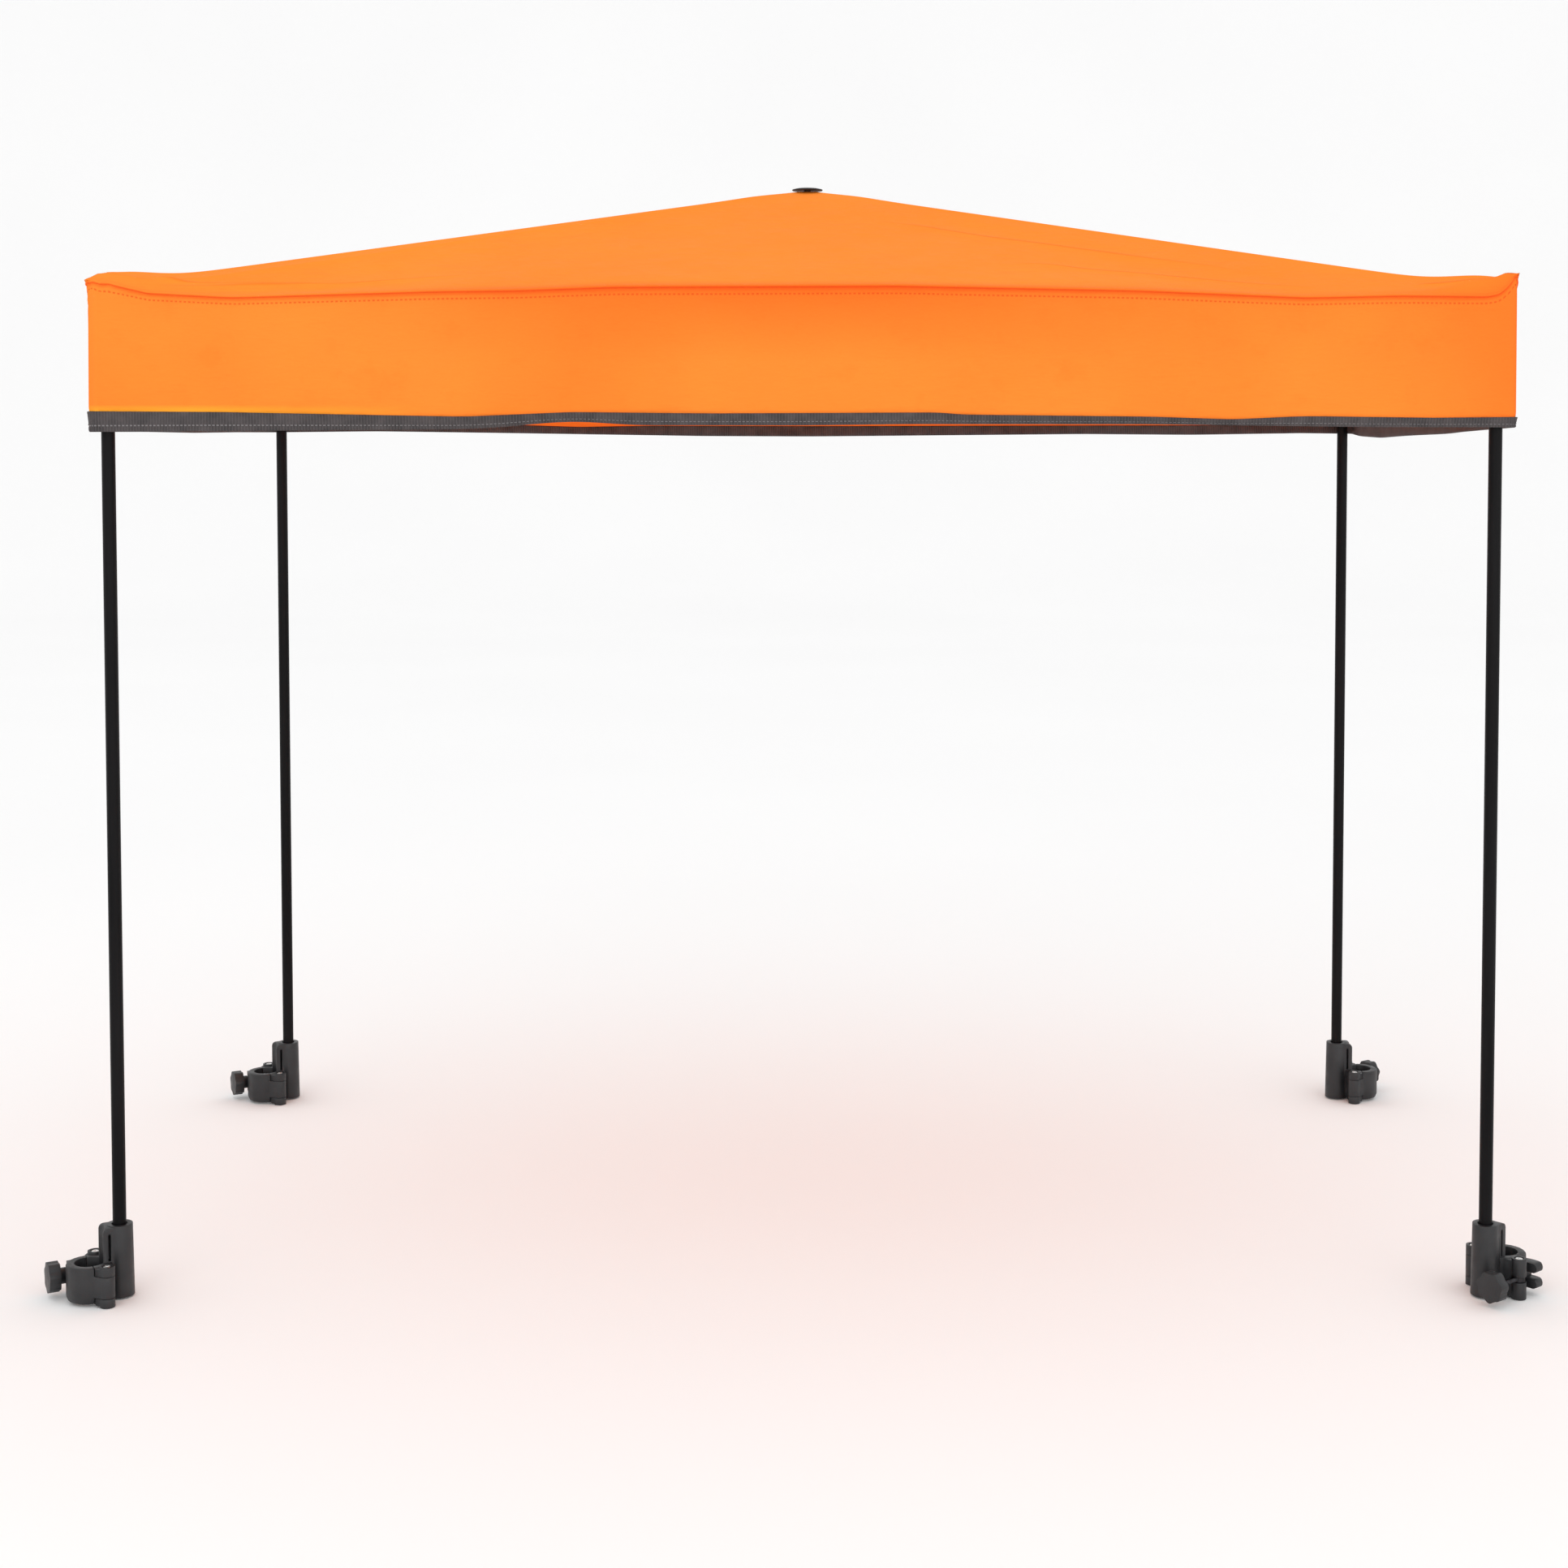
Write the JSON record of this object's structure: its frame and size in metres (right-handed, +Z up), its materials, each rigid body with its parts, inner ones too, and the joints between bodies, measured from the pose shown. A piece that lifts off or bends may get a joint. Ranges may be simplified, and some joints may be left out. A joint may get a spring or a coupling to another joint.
{
  "type": "cart canopy",
  "caption": "Small orange hipped sun canopy on thin black legs, with hinged tube clamps and knobs at the feet",
  "frame": {"origin": "middle of the bounding box, on the ground", "axes": "+X along the long side, to the right as seen from the front; +Y from the front to the back; +Z up"},
  "size_m": [1.1388, 0.6474, 0.8595],
  "materials": {
    "orange_fabric": "matte",
    "black_webbing": "matte",
    "black_steel": "satin",
    "black_plastic": "matte",
    "zinc_steel": "satin"
  },
  "bodies": {
    "canopy": {"back_hem_tape": "black_webbing", "back_left_corner_connector": "black_plastic", "back_left_roof_arm": "black_steel", "back_right_corner_connector": "black_plastic", "back_right_roof_arm": "black_steel", "back_roof_panel": "orange_fabric", "back_valance": "orange_fabric", "centre_hub": "black_plastic", "front_hem_tape": "black_webbing", "front_left_corner_connector": "black_plastic", "front_left_roof_arm": "black_steel", "front_right_corner_connector": "black_plastic", "front_right_roof_arm": "black_steel", "front_roof_panel": "orange_fabric", "front_valance": "orange_fabric", "left_hem_tape": "black_webbing", "left_roof_panel": "orange_fabric", "left_valance": "orange_fabric", "right_hem_tape": "black_webbing", "right_roof_panel": "orange_fabric", "right_valance": "orange_fabric", "top_cap": "black_plastic"},
    "front_left_leg": {"front_left_leg": "black_steel"},
    "front_left_clamp": {"front_left_clamp_bracket": "black_plastic", "front_left_hinge_screw": "zinc_steel", "front_left_pivot_screw": "zinc_steel"},
    "front_left_jaw": {"front_left_clamp_jaw": "black_plastic"},
    "front_left_bolt": {"front_left_swing_bolt": "zinc_steel"},
    "front_left_knob": {"front_left_clamp_knob": "black_plastic"},
    "front_right_leg": {"front_right_leg": "black_steel"},
    "front_right_clamp": {"front_right_clamp_bracket": "black_plastic", "front_right_hinge_screw": "zinc_steel", "front_right_pivot_screw": "zinc_steel"},
    "front_right_jaw": {"front_right_clamp_jaw": "black_plastic"},
    "front_right_bolt": {"front_right_swing_bolt": "zinc_steel"},
    "front_right_knob": {"front_right_clamp_knob": "black_plastic"},
    "back_left_leg": {"back_left_leg": "black_steel"},
    "back_left_clamp": {"back_left_clamp_bracket": "black_plastic", "back_left_hinge_screw": "zinc_steel", "back_left_pivot_screw": "zinc_steel"},
    "back_left_jaw": {"back_left_clamp_jaw": "black_plastic"},
    "back_left_bolt": {"back_left_swing_bolt": "zinc_steel"},
    "back_left_knob": {"back_left_clamp_knob": "black_plastic"},
    "back_right_leg": {"back_right_leg": "black_steel"},
    "back_right_clamp": {"back_right_clamp_bracket": "black_plastic", "back_right_hinge_screw": "zinc_steel", "back_right_pivot_screw": "zinc_steel"},
    "back_right_jaw": {"back_right_clamp_jaw": "black_plastic"},
    "back_right_bolt": {"back_right_swing_bolt": "zinc_steel"},
    "back_right_knob": {"back_right_clamp_knob": "black_plastic"}
  },
  "joints": [
    {"name": "front_left_leg_slide", "type": "slide", "parent": "canopy", "child": "front_left_leg", "axis": [0, 0, -1], "range_m": [0, 0.028]},
    {"name": "front_left_clamp_swivel", "type": "hinge", "parent": "front_left_leg", "child": "front_left_clamp", "pos_m": [-0.5106, -0.2863, 0.03], "axis": [0, 0, 1], "continuous": true},
    {"name": "front_left_jaw_hinge", "type": "hinge", "parent": "front_left_clamp", "child": "front_left_jaw", "pos_m": [-0.51291, -0.31102, 0.015], "axis": [0, 0, 1], "range_deg": [0, 1.2]},
    {"name": "front_left_bolt_swing", "type": "hinge", "parent": "front_left_clamp", "child": "front_left_bolt", "pos_m": [-0.53278, -0.27516, 0.015], "axis": [0, 0, -1], "range_deg": [0, 180]},
    {"name": "front_left_knob_spin", "type": "hinge", "parent": "front_left_bolt", "child": "front_left_knob", "pos_m": [-0.53278, -0.27516, 0.015], "axis": [-0.8746, -0.4848, 0], "continuous": true},
    {"name": "front_right_leg_slide", "type": "slide", "parent": "canopy", "child": "front_right_leg", "axis": [0, 0, -1], "range_m": [0, 0.028]},
    {"name": "front_right_clamp_swivel", "type": "hinge", "parent": "front_right_leg", "child": "front_right_clamp", "pos_m": [0.5194, -0.2863, 0.03], "axis": [0, 0, 1], "continuous": true},
    {"name": "front_right_jaw_hinge", "type": "hinge", "parent": "front_right_clamp", "child": "front_right_jaw", "pos_m": [0.51695, -0.2616, 0.015], "axis": [0, 0, 1], "range_deg": [0, 110]},
    {"name": "front_right_bolt_swing", "type": "hinge", "parent": "front_right_clamp", "child": "front_right_bolt", "pos_m": [0.5433, -0.29301, 0.015], "axis": [0, 0, 1], "range_deg": [-1.5, 182.5]},
    {"name": "front_right_knob_spin", "type": "hinge", "parent": "front_right_bolt", "child": "front_right_knob", "pos_m": [0.5433, -0.29301, 0.015], "axis": [-0.7934, -0.6088, 0], "continuous": true},
    {"name": "back_left_leg_slide", "type": "slide", "parent": "canopy", "child": "back_left_leg", "axis": [0, 0, -1], "range_m": [0, 0.028]},
    {"name": "back_left_clamp_swivel", "type": "hinge", "parent": "back_left_leg", "child": "back_left_clamp", "pos_m": [-0.5106, 0.2737, 0.03], "axis": [0, 0, 1], "continuous": true},
    {"name": "back_left_jaw_hinge", "type": "hinge", "parent": "back_left_clamp", "child": "back_left_jaw", "pos_m": [-0.51334, 0.24903, 0.015], "axis": [0, 0, 1], "range_deg": [0, 1.2]},
    {"name": "back_left_bolt_swing", "type": "hinge", "parent": "back_left_clamp", "child": "back_left_bolt", "pos_m": [-0.53258, 0.28523, 0.015], "axis": [0, 0, -1], "range_deg": [0, 180]},
    {"name": "back_left_knob_spin", "type": "hinge", "parent": "back_left_bolt", "child": "back_left_knob", "pos_m": [-0.53258, 0.28523, 0.015], "axis": [-0.8829, -0.4695, 0], "continuous": true},
    {"name": "back_right_leg_slide", "type": "slide", "parent": "canopy", "child": "back_right_leg", "axis": [0, 0, -1], "range_m": [0, 0.028]},
    {"name": "back_right_clamp_swivel", "type": "hinge", "parent": "back_right_leg", "child": "back_right_clamp", "pos_m": [0.5194, 0.2737, 0.03], "axis": [0, 0, 1], "continuous": true},
    {"name": "back_right_jaw_hinge", "type": "hinge", "parent": "back_right_clamp", "child": "back_right_jaw", "pos_m": [0.53304, 0.25296, 0.015], "axis": [0, 0, -1], "range_deg": [0, 110]},
    {"name": "back_right_bolt_swing", "type": "hinge", "parent": "back_right_clamp", "child": "back_right_bolt", "pos_m": [0.53376, 0.29395, 0.015], "axis": [0, 0, -1], "range_deg": [-144, 36]},
    {"name": "back_right_knob_spin", "type": "hinge", "parent": "back_right_bolt", "child": "back_right_knob", "pos_m": [0.53376, 0.29395, 0.015], "axis": [0.8192, 0.5736, 0], "continuous": true}
  ]
}
